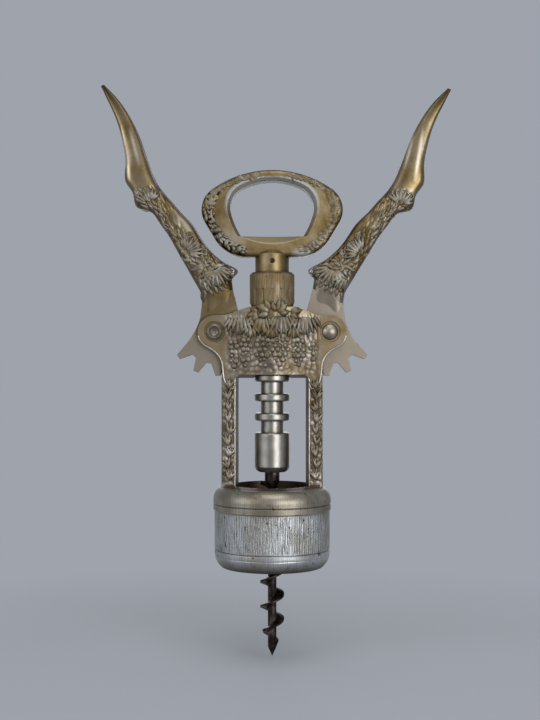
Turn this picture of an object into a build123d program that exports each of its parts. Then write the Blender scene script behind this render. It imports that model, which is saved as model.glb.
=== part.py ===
import os
from math import cos, degrees, pi, radians, sin, tan

from build123d import *

os.makedirs("parts", exist_ok=True)

# Millimetres. Z runs up the worm's axis from the plane of the bell's mouth,
# the decorated front looks along -Y, and X runs across the two levers.

# Clearances
shaft_clearance = 0.05
seat_clearance = 0.02
guide_clearance = 0.2
side_clearance = 0.2
tip_clearance = 0.7
slot_clearance = 0.5

# Bell, a small barrel that sits over the mouth of a bottle
bell_bore = 31.0
bell_wall = 3.07
bell_height = 26.2
ledge_depth = 3.0
top_opening = 26.0
mouth_round = 4.6
mouth_rim = 0.8
mouth_chamfer = 0.35
hoop_proud = 0.39
hoop_height = 8.15
shoulder_height = 4.4
shoulder_round = 3.6
shoulder_width = 2.2
groove_width = 0.5
groove_depth = 0.25
upper_groove_drop = 5.9
lower_groove_rise = 5.7

# Frame above the bell
window_width = 21.7
window_height = 34.4
window_corner = 1.2
leg_width = 5.55
leg_depth = 8.0
leg_round = 0.6
draft = 15.0
cut_margin = 1.0
head_height = 21.6
head_depth = 9.2
head_bulge = 2.7
head_swell_margin = 3.0
head_shelf_width = 22.0
head_shelf_drop = 1.1
head_shelf_lead = 1.4
ear_radius = 5.3
ear_turn = 25.0
waist_width = 31.6
tongue_length = 3.4
tongue_lean = 1.2
ear_throat_in = 1.3
ear_throat_drop = 2.2
pivot_spacing = 37.0
pivot_rise = 14.8
neck_radius = 7.25
neck_height = 12.4
neck_chamfer = 0.7
neck_foot = 1.2
flute_count = 15
flute_radius = 0.45
flute_height = 5.2
flute_bottom = 1.8

# Rivets that the levers turn on
rivet_radius = 1.95
rivet_head_radius = 2.6
rivet_head_height = 1.1
rivet_dimple_radius = 1.2
rivet_dimple_depth = 1.6
recess_radius = 3.3
recess_depth = 0.4

# Grooved sleeve, a rack that the lever teeth lift
rack_radius = 5.65
groove_floor_radius = 3.7
ring_pitch = 6.28
ring_thickness = 2.55
ring_round = 0.7
ring_count = 5
socket_gap = 4.2
socket_height = 12.7
socket_chamfer = 1.3
guide_land_height = 10.6

# Lever teeth
teeth_per_turn = 12
tooth_count = 6
gear_thickness = 4.8
root_clearance = 2.65
tooth_root_thickness = 4.2
tooth_root_cover = 1.0
tooth_tip_thickness = 1.7
tooth_tip_round = 0.6
foot_corner_drop = 0.4

# Lever arms, whose length runs from the pivot to the tip
left_lean = 24.3
right_lean = 26.1
arm_length = 87.5
arm_width = 10.0
arm_thickness = 8.0
corner_fullness = 0.81

# Worm with its rod
worm_reach = 29.2
worm_radius = 3.9
worm_core_radius = 1.4
worm_pitch = 8.0
blade_root_thickness = 1.7
blade_edge_thickness = 0.6
blade_top = 27.6
point_length = 12.5
shank_radius = 2.4
rod_radius = 2.0

# Handle with its stem
handle_base_width = 29.8
handle_base_round = 12.0
handle_corner_width = 49.8
handle_corner_height = 16.6
handle_corner_round = 8.0
handle_height = 27.9
handle_rise = 4.9
handle_thickness = 8.0
handle_edge_round = 1.5
opening_floor = 6.5
opening_floor_width = 20.0
opening_side_bulge = 0.9
opening_corner_width = 28.0
opening_corner_height = 12.5
opening_corner_round = 7.0
opening_height = 18.0
opening_edge_chamfer = 1.0
lip_drop = 2.2
stem_radius = 5.45
stem_shoulder = 1.0
washer_thickness = 0.8
washer_radius = 5.2
pin_radius = 0.8
pin_drop = 1.4
rod_cover = 3.6

# Heights and radii that follow from the sizes above
bell_radius = bell_bore / 2 + bell_wall
ledge_height = bell_height - ledge_depth
head_bottom = bell_height + window_height
head_top = head_bottom + head_height
neck_top = head_top + neck_height
pivot_height = head_bottom + pivot_rise
pivot_offset = pivot_spacing / 2
plate_depth = head_depth / 2
leg_inner = window_width / 2
leg_outer = leg_inner + leg_width
leg_draft = leg_depth / 2 * tan(radians(draft))
bore_radius = rack_radius + guide_clearance
slot_half_width = gear_thickness / 2 + side_clearance

tooth_tip_radius = pivot_offset - groove_floor_radius - tip_clearance
tooth_root_radius = pivot_offset - rack_radius - root_clearance
mesh_radius = ring_pitch * teeth_per_turn / (2 * pi)
slot_radius = tooth_tip_radius + slot_clearance
tooth_step = 360 / teeth_per_turn

ring_gap = ring_pitch - ring_thickness
socket_rise = bell_height + socket_gap
socket_top = socket_rise + socket_height
rings_top = socket_top + ring_gap + ring_count * ring_pitch
sleeve_top = rings_top + guide_land_height
stem_bottom = sleeve_top + shaft_clearance + washer_thickness + shaft_clearance
handle_bottom = neck_top + handle_rise
handle_top = handle_bottom + handle_height
pin_height = handle_bottom - pin_drop
rod_top = handle_bottom + rod_cover

# The tooth nearest the sleeve stands in a groove, so its angle above the pivot follows
rest_groove = socket_top + ring_gap / 2 + ring_count * ring_pitch
first_tooth_angle = degrees((rest_groove - pivot_height) / mesh_radius)


# Frame: barrel bell, two legs, head with two cheeks and a fluted neck, cast in one
with BuildPart() as frame:
    # Both cheeks and the tongues that run down over the legs
    with BuildSketch(Plane.XZ):
        with BuildLine():
            ear_top = (pivot_offset, pivot_height + ear_radius)
            ear_side = (pivot_offset + ear_radius, pivot_height)
            ear_mid = (
                pivot_offset + ear_radius * cos(pi / 4),
                pivot_height + ear_radius * sin(pi / 4),
            )
            ear_low = (
                pivot_offset + ear_radius * sin(radians(ear_turn)),
                pivot_height - ear_radius * cos(radians(ear_turn)),
            )
            waist = (waist_width / 2, head_bottom + tongue_length)
            shelf = (head_shelf_width / 2, head_top)
            Line((0, head_bottom), (leg_inner, head_bottom))
            Line((leg_inner, head_bottom), (leg_inner + leg_width * 0.3, head_bottom - tongue_length))
            Spline(
                (leg_inner + leg_width * 0.3, head_bottom - tongue_length),
                ((leg_inner + waist_width / 2) / 2 + tongue_lean, head_bottom - tongue_length * 0.6),
                waist,
                tangents=[(1, 0.15), (0.05, 1)],
            )
            Spline(
                waist,
                (pivot_offset - ear_throat_in, pivot_height - ear_radius - ear_throat_drop),
                ear_low,
                tangents=[(0.05, 1), (cos(radians(ear_turn)), sin(radians(ear_turn)))],
            )
            RadiusArc(ear_low, ear_side, -ear_radius)
            ThreePointArc(ear_side, ear_mid, ear_top)
            Spline(
                ear_top,
                ((pivot_offset + head_shelf_width / 2) / 2, (ear_top[1] + head_top - head_shelf_drop) / 2),
                (head_shelf_width / 2 + head_shelf_lead, head_top - head_shelf_drop / 2),
                shelf,
                tangents=[(-1, 0), (-1, 0)],
            )
            Polyline(
                shelf,
                (neck_radius, head_top + neck_foot),
                (0, head_top + neck_foot),
                (0, head_bottom),
            )
        make_face()
        mirror(about=Plane.YZ)
    extrude(amount=plate_depth + head_bulge, both=True)

    # The front and back swell over the bore and run out flat at the ears
    with BuildSketch(Plane.XY.offset(head_bottom - 2 * tongue_length)):
        with BuildLine():
            swell_half = head_shelf_width / 2 + head_swell_margin
            reach = pivot_offset + 2 * ear_radius
            Spline(
                (-swell_half, -plate_depth),
                (0, -plate_depth - head_bulge),
                (swell_half, -plate_depth),
                tangents=[(1, 0), (1, 0)],
            )
            Polyline(
                (swell_half, -plate_depth),
                (reach, -plate_depth),
                (reach, plate_depth),
                (swell_half, plate_depth),
            )
            Spline(
                (swell_half, plate_depth),
                (0, plate_depth + head_bulge),
                (-swell_half, plate_depth),
                tangents=[(-1, 0), (-1, 0)],
            )
            Polyline(
                (-swell_half, plate_depth),
                (-reach, plate_depth),
                (-reach, -plate_depth),
                (-swell_half, -plate_depth),
            )
        make_face()
    extrude(amount=head_height + 4 * tongue_length, mode=Mode.INTERSECT)

    # Legs down to the ledge inside the bell
    with BuildSketch(Plane.XY.offset(ledge_height)) as leg_section:
        with BuildLine():
            Polyline(
                (leg_inner, 0),
                (leg_inner + leg_draft, -leg_depth / 2),
                (leg_outer - leg_draft / 3, -leg_depth / 2),
                (leg_outer, 0),
                (leg_outer - leg_draft / 3, leg_depth / 2),
                (leg_inner + leg_draft, leg_depth / 2),
                close=True,
            )
        make_face()
        fillet(leg_section.vertices().group_by(Axis.X)[-2], leg_round)
        mirror(about=Plane.YZ)
    extrude(amount=head_bottom - ledge_height + tongue_length)

    # Window between the legs, drafted from the mid plane as a casting is
    window_middle = (bell_height - window_corner * 2 + head_bottom) / 2
    window_length = head_bottom - bell_height + window_corner * 2
    with BuildSketch(Plane.XZ.offset(0)):
        with Locations((0, window_middle)):
            RectangleRounded(window_width, window_length, window_corner)
    extrude(amount=leg_depth / 2, both=True, taper=-draft, mode=Mode.SUBTRACT)
    cut_depth = head_bulge + cut_margin
    with BuildSketch(Plane.XZ.offset(leg_depth / 2), Plane.XZ.offset(-leg_depth / 2 - cut_depth)):
        with Locations((0, window_middle)):
            RectangleRounded(
                window_width + 2 * leg_draft,
                window_length + 2 * leg_draft,
                window_corner + leg_draft,
            )
    extrude(amount=cut_depth, mode=Mode.SUBTRACT)

    # Neck
    with BuildSketch(Plane.XY.offset(head_bottom + window_corner + leg_draft)):
        Circle(neck_radius)
    extrude(amount=neck_top - head_bottom - window_corner - leg_draft)
    chamfer(frame.edges().filter_by(GeomType.CIRCLE).sort_by(Axis.Z)[-1], neck_chamfer)
    with BuildSketch(Plane.XY.offset(head_top + flute_bottom)):
        with PolarLocations(neck_radius + flute_radius * 0.35, flute_count, start_angle=-90):
            Circle(flute_radius)
    extrude(amount=flute_height, mode=Mode.SUBTRACT)

    # Barrel with its hoops
    with BuildSketch(Plane.XZ):
        with BuildLine():
            hoop_radius = bell_radius + hoop_proud
            hoop_bottom = bell_height - hoop_height
            shoulder_bottom = bell_height - shoulder_height
            shoulder_top = shoulder_bottom + shoulder_round
            upper_groove = bell_height - upper_groove_drop
            rim_radius = bell_bore / 2 + mouth_rim
            Polyline((bell_bore / 2, ledge_height), (bell_bore / 2, mouth_chamfer),
                     (bell_bore / 2 + mouth_chamfer, 0), (rim_radius, 0))
            RadiusArc((rim_radius, 0), (bell_radius, mouth_round), -mouth_round * 1.3)
            Polyline(
                (bell_radius, mouth_round),
                (bell_radius, lower_groove_rise - groove_width / 2),
                (bell_radius - groove_depth, lower_groove_rise),
                (bell_radius, lower_groove_rise + groove_width / 2),
                (bell_radius, hoop_bottom),
                (hoop_radius, hoop_bottom + hoop_proud),
                (hoop_radius, upper_groove - groove_width / 2),
                (hoop_radius - groove_depth, upper_groove),
                (hoop_radius, upper_groove + groove_width / 2),
                (hoop_radius, shoulder_bottom),
            )
            RadiusArc(
                (hoop_radius, shoulder_bottom),
                (hoop_radius - shoulder_width, shoulder_top),
                -shoulder_round * 1.15,
            )
            Polyline(
                (hoop_radius - shoulder_width, shoulder_top),
                (top_opening / 2, bell_height),
                (top_opening / 2, ledge_height),
                (bell_bore / 2, ledge_height),
            )
        make_face()
    revolve(axis=Axis.Z)

    # Bore for the sleeve, through the head and the neck
    with BuildSketch(Plane.XY.offset(head_bottom - tongue_length)):
        Circle(bore_radius)
    extrude(amount=neck_top - head_bottom + 2 * tongue_length, mode=Mode.SUBTRACT)

    # Slots for the lever teeth
    with BuildSketch(Plane.XZ.offset(-slot_half_width)):
        with Locations((-pivot_offset, pivot_height), (pivot_offset, pivot_height)):
            Circle(slot_radius)
    extrude(amount=2 * slot_half_width, mode=Mode.SUBTRACT)

    # Rivet holes, each with a shallow recess on both faces
    with BuildSketch(Plane.XZ.offset(-plate_depth)):
        with Locations((-pivot_offset, pivot_height), (pivot_offset, pivot_height)):
            Circle(rivet_radius + seat_clearance)
    extrude(amount=head_depth, mode=Mode.SUBTRACT)
    with BuildSketch(Plane.XZ.offset(plate_depth - recess_depth), Plane.XZ.offset(-plate_depth)):
        with Locations((-pivot_offset, pivot_height), (pivot_offset, pivot_height)):
            Circle(recess_radius)
    extrude(amount=recess_depth, mode=Mode.SUBTRACT)

frame.part.label = "frame"
export_step(frame.part, "parts/frame.step")


def make_rivet(side, dished_front):
    """One rivet: a domed head at one end and the other end rolled over with a dimple."""
    seat = plate_depth - recess_depth
    tip = seat + rivet_head_height
    rim = (rivet_head_radius + rivet_dimple_radius) / 2
    with BuildPart() as rivet:
        with BuildSketch(Plane.XY):
            with BuildLine():
                Polyline(
                    (0, -seat - rivet_head_height),
                    (0, tip - rivet_dimple_depth),
                    (rivet_dimple_radius, tip - rivet_dimple_depth / 2),
                    (rim, tip),
                    (rivet_head_radius, seat + rivet_head_height * 0.4),
                    (rivet_head_radius, seat),
                    (rivet_radius, seat),
                    (rivet_radius, -seat),
                    (rivet_head_radius, -seat),
                )
                dome = (rivet_head_radius**2 + rivet_head_height**2) / (2 * rivet_head_height)
                RadiusArc((rivet_head_radius, -seat), (0, -seat - rivet_head_height), dome)
            make_face()
        revolve(axis=Axis.Y)
    turn = 180 if dished_front else 0
    return Pos(side * pivot_offset, 0, pivot_height) * Rot(0, 0, turn) * rivet.part


left_rivet = make_rivet(-1, True)
left_rivet.label = "left_rivet"
export_step(left_rivet, "parts/left_rivet.step")

right_rivet = make_rivet(1, False)
right_rivet.label = "right_rivet"
export_step(right_rivet, "parts/right_rivet.step")


# Outer edge of a lever's foot, as places inward from and along the arm's line, in arm widths
foot_edge = [(-0.63, 0.24), (-1.03, 0.0)]

# Lever arm sections from the flared foot to the tip: distance as a share of the arm's length,
# outer and inner edge from the arm's line in arm widths, thickness as a share
arm_sections = [
    (0.075, -0.22, 1.03, 0.56),
    (0.115, 0.00, 1.10, 0.72),
    (0.150, 0.10, 1.20, 0.88),
    (0.182, 0.09, 1.47, 0.96),
    (0.215, 0.06, 1.24, 1.00),
    (0.255, 0.03, 1.04, 1.00),
    (0.330, -0.03, 0.84, 1.00),
    (0.400, -0.09, 0.75, 1.00),
    (0.460, -0.19, 0.56, 1.00),
    (0.505, -0.32, 0.45, 1.00),
    (0.535, -0.62, 0.38, 1.00),
    (0.590, -0.57, 0.27, 1.00),
    (0.640, -0.63, 0.28, 0.98),
    (0.690, -0.44, 0.31, 0.90),
    (0.760, -0.23, 0.37, 0.72),
    (0.830, -0.11, 0.37, 0.56),
    (0.900, -0.07, 0.30, 0.42),
    (0.960, -0.08, 0.16, 0.26),
    (1.000, -0.09, 0.03, 0.15),
]


def arm_plane(side, lean, distance):
    """Plane square to the arm at a distance from the pivot, with its x towards the worm."""
    angle = radians(lean)
    along = Vector(side * sin(angle), 0, cos(angle))
    inward = Vector(-side * cos(angle), 0, sin(angle))
    pivot = Vector(side * pivot_offset, 0, pivot_height)
    return Plane(origin=pivot + along * distance, x_dir=inward, z_dir=along)


def make_lever(side, lean):
    """One lever: a toothed plate that works in the slot, and an arm that ends as a horn."""
    foot = arm_plane(side, lean, 0)
    flat = Plane(origin=foot.origin, x_dir=foot.x_dir, z_dir=(0, side, 0))
    nearest_tooth = first_tooth_angle - lean
    last_tooth = nearest_tooth - (tooth_count - 1) * tooth_step
    with BuildPart() as lever:
        for rows, straight in ((arm_sections[:3], True), (arm_sections[2:], False)):
            for share, outer, inner, thickness in rows:
                middle = (inner + outer) / 2 * arm_width
                flank = (inner - outer) / 2 * arm_width
                front = arm_thickness * thickness / 2
                corner = (flank * corner_fullness, front * corner_fullness)
                with BuildSketch(arm_plane(side, lean, share * arm_length)):
                    with BuildLine():
                        Spline(
                            (middle + flank, 0),
                            (middle + corner[0], corner[1]),
                            (middle, front),
                            (middle - corner[0], corner[1]),
                            (middle - flank, 0),
                            (middle - corner[0], -corner[1]),
                            (middle, -front),
                            (middle + corner[0], -corner[1]),
                            periodic=True,
                        )
                    make_face()
            loft(ruled=straight)

        with BuildSketch(flat) as plate:
            # Foot, whose outer edge runs from the arm down to the corner of the last tooth
            corner = Vector(tooth_tip_radius - foot_corner_drop, 0).rotate(Axis.Z, last_tooth)
            corner += Vector(0, tooth_tip_thickness / 2).rotate(Axis.Z, last_tooth - 180)
            share, outer, inner, thickness = arm_sections[1]
            outer_top = (outer * arm_width, share * arm_length)
            inner_top = (inner * arm_width, share * arm_length)
            edge = [(across * arm_width, along * arm_width) for across, along in foot_edge]
            with BuildLine():
                Spline(outer_top, *edge, corner)
                Polyline(
                    corner,
                    (0, -tooth_root_radius / 2),
                    (tooth_root_radius * 0.9, 0),
                    inner_top,
                    outer_top,
                )
            make_face()
            # Sector that carries the teeth
            sector_start = last_tooth + tooth_step / 4
            sector_size = nearest_tooth + tooth_step * 0.6 - sector_start
            with BuildLine():
                rim = CenterArc((0, 0), tooth_root_radius, sector_start, sector_size)
                Polyline(rim @ 1, (0, 0), rim @ 0)
            make_face()
            with Locations(*[Rot(0, 0, nearest_tooth - n * tooth_step) for n in range(tooth_count)]):
                Polygon(
                    (tooth_root_radius - tooth_root_cover, -tooth_root_thickness / 2),
                    (tooth_tip_radius, -tooth_tip_thickness / 2),
                    (tooth_tip_radius, tooth_tip_thickness / 2),
                    (tooth_root_radius - tooth_root_cover, tooth_root_thickness / 2),
                    align=None,
                )
            tip_corner = Vector(tooth_tip_radius, tooth_tip_thickness / 2).length
            tips = plate.vertices().filter_by(
                lambda v: abs((Vector(v) - flat.origin).length - tip_corner) < tooth_tip_round / 50
            )
            fillet(tips, tooth_tip_round)
        extrude(amount=gear_thickness / 2, both=True)
        with BuildSketch(flat):
            Circle(rivet_radius + shaft_clearance)
        extrude(amount=gear_thickness, both=True, mode=Mode.SUBTRACT)
    return lever.part


left_lever = make_lever(-1, left_lean)
left_lever.label = "left_lever"
export_step(left_lever, "parts/left_lever.step")

right_lever = make_lever(1, right_lean)
right_lever.label = "right_lever"
export_step(right_lever, "parts/right_lever.step")


# Sleeve: socket at the bottom, rings that the teeth work between, plain guide land on top
with BuildPart() as rack_sleeve:
    with BuildSketch(Plane.XZ):
        with BuildLine():
            outline = [
                (rod_radius + shaft_clearance, socket_rise),
                (rack_radius - socket_chamfer, socket_rise),
                (rack_radius - socket_chamfer * 0.3, socket_rise + socket_chamfer * 0.5),
                (rack_radius, socket_rise + socket_chamfer * 1.3),
                (rack_radius, socket_top),
            ]
            for ring in range(ring_count + 1):
                gap_bottom = socket_top + ring * ring_pitch
                outline += [
                    (groove_floor_radius, gap_bottom),
                    (groove_floor_radius, gap_bottom + ring_gap),
                    (rack_radius, gap_bottom + ring_gap),
                    (rack_radius, gap_bottom + ring_pitch),
                ]
            outline[-1] = (rack_radius, sleeve_top)
            outline.append((rod_radius + shaft_clearance, sleeve_top))
            Polyline(*outline, close=True)
        make_face()
    revolve(axis=Axis.Z)
    rims = rack_sleeve.edges().filter_by(GeomType.CIRCLE).filter_by(
        lambda e: abs(e.radius - rack_radius) < 0.01 and e.center().Z > socket_top - 0.01
    )
    fillet(rims, ring_round)

rack_sleeve.part.label = "rack_sleeve"
export_step(rack_sleeve.part, "parts/rack_sleeve.step")


# Washer between the sleeve and the turning stem
with BuildPart() as thrust_washer:
    with BuildSketch(Plane.XY.offset(sleeve_top + shaft_clearance)):
        Circle(washer_radius)
        Circle(rod_radius + shaft_clearance, mode=Mode.SUBTRACT)
    extrude(amount=washer_thickness)

thrust_washer.part.label = "thrust_washer"
export_step(thrust_washer.part, "parts/thrust_washer.step")


# Worm: a right-hand blade wound round a core, narrowing to a point on the axis
with BuildPart() as blade:
    blade_middle = (worm_core_radius + worm_radius) / 2
    blade_length = blade_top + worm_reach
    with BuildLine() as blade_path:
        Helix(worm_pitch, blade_length, blade_middle, center=(0, 0, -worm_reach))
    start = blade_path.line @ 0
    with BuildSketch(Plane(origin=start, x_dir=(1, 0, 0), z_dir=blade_path.line % 0)):
        inner = worm_core_radius * 0.6 - blade_middle
        outer = worm_radius - blade_middle
        Polygon(
            (inner, -blade_root_thickness / 2),
            (outer, -blade_edge_thickness / 2),
            (outer, blade_edge_thickness / 2),
            (inner, blade_root_thickness / 2),
            align=None,
        )
    sweep(path=blade_path.line, is_frenet=True)
    with BuildSketch(Plane.XY.offset(-worm_reach)):
        Circle(worm_core_radius)
    extrude(amount=blade_length)

    with BuildSketch(Plane.XZ):
        with BuildLine():
            point_top = -worm_reach + point_length
            Polyline((0, blade_top), (0, -worm_reach))
            ThreePointArc(
                (0, -worm_reach),
                (worm_radius * 0.58, -worm_reach + point_length * 0.43),
                (worm_radius + 0.1, point_top),
            )
            Polyline((worm_radius + 0.1, point_top), (worm_radius + 0.1, blade_top), (0, blade_top))
        make_face()
    revolve(axis=Axis.Z, mode=Mode.INTERSECT)

# The blade with its shank, and the rod that runs through the sleeve into the handle
with BuildPart() as worm:
    add(blade.part, rotation=(0, 0, 180))
    with BuildSketch(Plane.XZ):
        with BuildLine():
            shoulder = socket_rise - shaft_clearance
            Polyline(
                (0, point_top),
                (worm_core_radius, point_top),
                (worm_core_radius, blade_top - worm_pitch / 3),
                (shank_radius, blade_top),
                (shank_radius, shoulder),
                (rod_radius, shoulder),
                (rod_radius, rod_top),
                (0, rod_top),
                close=True,
            )
        make_face()
    revolve(axis=Axis.Z)
    with BuildSketch(Plane.XZ.offset(-2 * rod_radius)):
        with Locations((0, pin_height)):
            Circle(pin_radius + seat_clearance)
    extrude(amount=4 * rod_radius, mode=Mode.SUBTRACT)

worm.part.label = "worm"
export_step(worm.part, "parts/worm.step")


# Handle: a loop with a lip for crown caps, and the stem that turns in the neck
with BuildPart() as handle:
    with BuildSketch(Plane.XZ) as outline:
        with BuildLine():
            corner = (handle_corner_width / 2, handle_bottom + handle_corner_height)
            ThreePointArc((-corner[0], corner[1]), (0, handle_top), corner)
            Polyline(
                corner,
                (handle_base_width / 2, handle_bottom),
                (-handle_base_width / 2, handle_bottom),
                (-corner[0], corner[1]),
            )
        make_face()
        fillet(outline.vertices().group_by(Axis.Y)[0], handle_base_round)
        fillet(outline.vertices().group_by(Axis.Y)[-1], handle_corner_round)
    extrude(amount=handle_thickness / 2, both=True)
    fillet(handle.faces().filter_by(Axis.Y).edges(), handle_edge_round)

    with BuildSketch(Plane.XZ) as opening:
        with BuildLine():
            floor = handle_bottom + opening_floor
            corner = (opening_corner_width / 2, floor + opening_corner_height)
            side = (
                (opening_corner_width + opening_floor_width) / 4 + opening_side_bulge,
                floor + opening_corner_height / 2,
            )
            floor_end = (opening_floor_width / 2, floor)
            ThreePointArc((-corner[0], corner[1]), (0, floor + opening_height), corner)
            ThreePointArc(corner, side, floor_end)
            Line(floor_end, (-floor_end[0], floor))
            ThreePointArc((-floor_end[0], floor), (-side[0], side[1]), (-corner[0], corner[1]))
        make_face()
        fillet(opening.vertices().group_by(Axis.Y)[-1], opening_corner_round)
    extrude(amount=handle_thickness, both=True, mode=Mode.SUBTRACT)
    rims = ShapeList()
    for face in handle.faces().filter_by(Axis.Y):
        rims += face.inner_wires()[0].edges().filter_by(lambda e: e.center().Z > floor + 0.1)
    chamfer(rims, opening_edge_chamfer)

    # Crescent bevels under the opening leave a thin lip that hooks a cap
    with BuildSketch(Plane.XZ.offset(-handle_thickness / 2)):
        with BuildLine():
            lip_half = opening_floor_width / 2
            ThreePointArc((-lip_half, floor), (0, floor - lip_drop), (lip_half, floor))
            Polyline(
                (lip_half, floor),
                (lip_half, floor + 2 * lip_drop),
                (-lip_half, floor + 2 * lip_drop),
                (-lip_half, floor),
            )
        make_face()
    bevel = extrude(amount=lip_drop, taper=45, mode=Mode.PRIVATE)
    add(bevel, mode=Mode.SUBTRACT)
    mirror(bevel, about=Plane.XZ, mode=Mode.SUBTRACT)

    with BuildSketch(Plane.XY.offset(stem_bottom)):
        Circle(stem_radius)
    extrude(amount=handle_bottom + stem_shoulder - stem_bottom)
    with BuildSketch(Plane.XY.offset(handle_bottom + stem_shoulder)):
        Circle(stem_radius)
    extrude(amount=stem_radius / 2, taper=45)
    with BuildSketch(Plane.XY.offset(stem_bottom)):
        Circle(rod_radius + seat_clearance)
    extrude(amount=rod_top + shaft_clearance - stem_bottom, mode=Mode.SUBTRACT)
    with BuildSketch(Plane.XZ.offset(-2 * stem_radius)):
        with Locations((0, pin_height)):
            Circle(pin_radius + seat_clearance)
    extrude(amount=4 * stem_radius, mode=Mode.SUBTRACT)

handle.part.label = "handle"
export_step(handle.part, "parts/handle.step")


# Cross pin that holds the worm's rod in the stem
with BuildPart() as handle_pin:
    with BuildSketch(Plane.XZ.offset(-stem_radius + 2 * shaft_clearance)):
        with Locations((0, pin_height)):
            Circle(pin_radius)
    extrude(amount=2 * stem_radius - 4 * shaft_clearance)

handle_pin.part.label = "handle_pin"
export_step(handle_pin.part, "parts/handle_pin.step")
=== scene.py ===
from math import atan2, cos, degrees, pi, radians, sin
from random import Random

import bpy
from mathutils import Matrix, Vector


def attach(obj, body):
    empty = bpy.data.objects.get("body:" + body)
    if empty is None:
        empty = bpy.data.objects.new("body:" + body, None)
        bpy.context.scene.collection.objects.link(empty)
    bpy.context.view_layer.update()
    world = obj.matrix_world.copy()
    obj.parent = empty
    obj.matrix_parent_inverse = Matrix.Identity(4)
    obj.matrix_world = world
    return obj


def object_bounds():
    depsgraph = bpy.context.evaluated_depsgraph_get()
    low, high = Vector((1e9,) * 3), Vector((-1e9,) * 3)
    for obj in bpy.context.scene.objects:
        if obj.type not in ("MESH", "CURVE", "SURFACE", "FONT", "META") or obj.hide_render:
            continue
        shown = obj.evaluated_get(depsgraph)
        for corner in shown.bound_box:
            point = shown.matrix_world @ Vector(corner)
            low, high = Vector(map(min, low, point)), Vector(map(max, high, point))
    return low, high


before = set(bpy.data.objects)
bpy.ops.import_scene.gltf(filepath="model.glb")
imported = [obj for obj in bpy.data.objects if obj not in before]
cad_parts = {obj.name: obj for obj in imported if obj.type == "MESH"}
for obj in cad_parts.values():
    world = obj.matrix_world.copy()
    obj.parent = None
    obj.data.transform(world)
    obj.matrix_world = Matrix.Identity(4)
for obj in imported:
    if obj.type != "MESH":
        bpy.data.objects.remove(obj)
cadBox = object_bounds()
bpy.ops.object.select_all(action="DESELECT")
mm = 0.001
chance = Random(11)
front, back = -1, 1
rivetPlace = (18.5, 75.4)  # x and z of the right lever's pivot, in millimetres
print("frame loaded")


# colours and nodes

def toLinear(hexColour):
    parts = [int(hexColour[i:i + 2], 16) / 255 for i in (1, 3, 5)]
    return tuple(p / 12.92 if p <= 0.04045 else ((p + 0.055) / 1.055) ** 2.4 for p in parts) + (1,)


def addNode(tree, kind, settings=None, inputs=None, ramp=None):
    # an input takes a value, a hex colour, another node's output, or a node for its first in use
    node = tree.nodes.new(kind)
    for name, value in (settings or {}).items():
        setattr(node, name, value)
    for name, value in (inputs or {}).items():
        if isinstance(value, bpy.types.Node):
            value = next(output for output in value.outputs if output.enabled)
        if isinstance(value, bpy.types.NodeSocket):
            tree.links.new(value, node.inputs[name])
        else:
            node.inputs[name].default_value = toLinear(value) if isinstance(value, str) else value
    if ramp:
        stops = node.color_ramp.elements
        while len(stops) < len(ramp):
            stops.new(0.5)
        for stop, (place, tone) in zip(stops, ramp):
            stop.position = place
            stop.color = toLinear(tone) if isinstance(tone, str) else (tone, tone, tone, 1)
    return node


def startMaterial(name):
    material = bpy.data.materials.new(name)
    material.use_nodes = True
    tree = material.node_tree
    tree.nodes.clear()
    return material, tree, addNode(tree, "ShaderNodeTexCoord").outputs["Object"]


def finishMaterial(tree, surface):
    shader = addNode(tree, "ShaderNodeBsdfPrincipled", None, surface)
    addNode(tree, "ShaderNodeOutputMaterial", None, {"Surface": shader})


def overlap(tree, masks):
    # masks and shares multiplied, so 1 only where all of them are
    whole = masks[0]
    for mask in masks[1:]:
        whole = addNode(tree, "ShaderNodeMath", {"operation": "MULTIPLY"}, {0: whole, 1: mask})
    return whole


def layTints(tree, colour, layers):
    # lays tints over a colour, each as strong as the masks and shares behind it
    for tint, *masks in layers:
        colour = addNode(tree, "ShaderNodeMix", {"data_type": "RGBA"},
                         {0: overlap(tree, masks), 6: colour, 7: tint})
    return colour


def measurePlace(tree, place):
    # a point's x, y and z, and how far it lies sideways and outward from the middle
    axes = addNode(tree, "ShaderNodeSeparateXYZ", None, {"Vector": place}).outputs
    measures = {"x": axes["X"], "y": axes["Y"], "z": axes["Z"]}
    for name, axis in (("sideways", "x"), ("outward", "y")):
        measures[name] = addNode(tree, "ShaderNodeMath", {"operation": "ABSOLUTE"}, {0: measures[axis]})
    return measures


def maskOf(tree, measures, parts, *names):
    # 1 on the named parts, each bounded by measures from, to and with a soft end in millimetres
    whole = None
    for name in names:
        ends = []
        for measure, (low, high, soft) in parts[name].items():
            for end, reach in ((low, soft), (high, -soft)):
                if end is not None:
                    ends.append(addNode(tree, "ShaderNodeMapRange", None, {
                        "Value": measures[measure],
                        "From Min": (end - reach) * mm, "From Max": (end + reach) * mm}))
        mask = overlap(tree, ends)
        if whole is not None:
            mask = addNode(tree, "ShaderNodeMath", {"operation": "MAXIMUM"}, {0: whole, 1: mask})
        whole = mask
    return whole


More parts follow.
